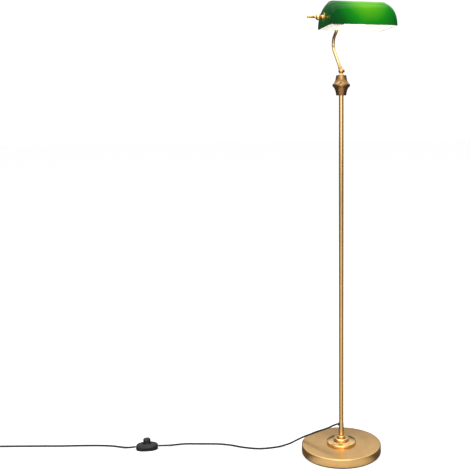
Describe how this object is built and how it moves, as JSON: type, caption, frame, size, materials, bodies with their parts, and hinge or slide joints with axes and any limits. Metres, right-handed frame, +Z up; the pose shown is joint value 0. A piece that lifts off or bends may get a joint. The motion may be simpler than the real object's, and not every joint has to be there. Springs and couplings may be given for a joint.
{
  "type": "pharmacy floor lamp",
  "caption": "Standing reading lamp: round weighted base, slim pole, swivelling jointed arm, green glass half-barrel shade, and a corded foot switch.",
  "frame": {"origin": "on the pole's axis, at the underside of the base's pad, where the lamp stands", "axes": "+Z up along the pole; X along the shade, with the end knob towards -X; -Y is the front, and the lead leaves towards -X and +Y"},
  "size_m": [1.4642, 0.6178, 1.503],
  "materials": {
    "brass": "brushed and lacquered",
    "aged_brass": "darkened, turned",
    "steel": "zinc plated",
    "iron": "as cast",
    "rubber": "matt black",
    "plastic": "moulded black, soft sheen",
    "lead_sheath": "smooth black sheath",
    "copper": "bare copper alloy",
    "porcelain": "white glazed",
    "green_glass": "gloss green glass cased over white",
    "bulb_glass": "opal"
  },
  "bodies": {
    "stand": {"base_pad": "rubber", "base_weight": "iron", "base_shell": "brass", "threaded_nipple": "steel", "base_washer": "steel", "base_nut": "steel", "collar_plate": "brass", "collar_ring": "brass", "collar_bead": "brass", "pole_foot": "brass", "cable_grommet": "rubber", "pole_lower": "brass", "pole_middle": "brass", "pole_upper": "brass", "coupling_foot": "steel", "coupling_lower": "steel", "coupling_upper": "steel", "pole_lead": "lead_sheath", "cap_lower": "aged_brass", "swivel_bush": "steel", "switch_base": "plastic", "switch_cover": "plastic", "switch_contacts": "copper", "switch_spring": "steel", "switch_screw_left": "steel", "switch_screw_right": "steel", "lead_to_switch": "lead_sheath", "lead_to_coil": "lead_sheath", "lead_to_plug": "lead_sheath", "lead_coil": "lead_sheath", "plug_body": "plastic", "plug_pin_left": "steel", "plug_pin_right": "steel"},
    "button": {"switch_button": "plastic"},
    "swivel": {"cap_upper": "aged_brass", "swivel_spindle": "steel", "swivel_nut": "steel", "cap_nut": "steel", "knuckle_base": "brass", "knuckle_screw": "brass"},
    "arm": {"knuckle_arm": "brass", "arm_tube": "brass", "arm_lead": "lead_sheath", "head_knuckle_base": "brass", "head_knuckle_screw": "brass"},
    "head": {"shade_glass": "green_glass", "head_knuckle_stub": "brass", "back_nut": "steel", "back_washer": "rubber", "holder_strap": "steel", "inner_nut": "steel", "lampholder_shell": "brass", "lampholder_core": "porcelain", "bulb_cap": "steel", "bulb_glass": "bulb_glass", "end_nipple": "steel", "end_nut": "steel", "end_washer": "brass", "end_knob": "brass", "knob_handle": "brass"}
  },
  "joints": [
    {"name": "cap_swivel", "type": "hinge", "parent": "stand", "child": "swivel", "pos_m": [0, 0, 1.2463], "axis": [0, 0, 1], "range_deg": [-170, 170]},
    {"name": "arm_tilt", "type": "hinge", "parent": "swivel", "child": "arm", "pos_m": [0, 0, 1.2927], "axis": [1, 0, 0], "range_deg": [-35, 40]},
    {"name": "head_tilt", "type": "hinge", "parent": "arm", "child": "head", "pos_m": [0, 0.047, 1.445], "axis": [1, 0, 0], "range_deg": [-50, 15]},
    {"name": "button_press", "type": "slide", "parent": "stand", "child": "button", "axis": [0, 0, -1], "range_m": [0, 0.003], "stiffness_N_per_m": 400, "springref_m": -0.002, "deforming": ["switch_spring"]}
  ]
}
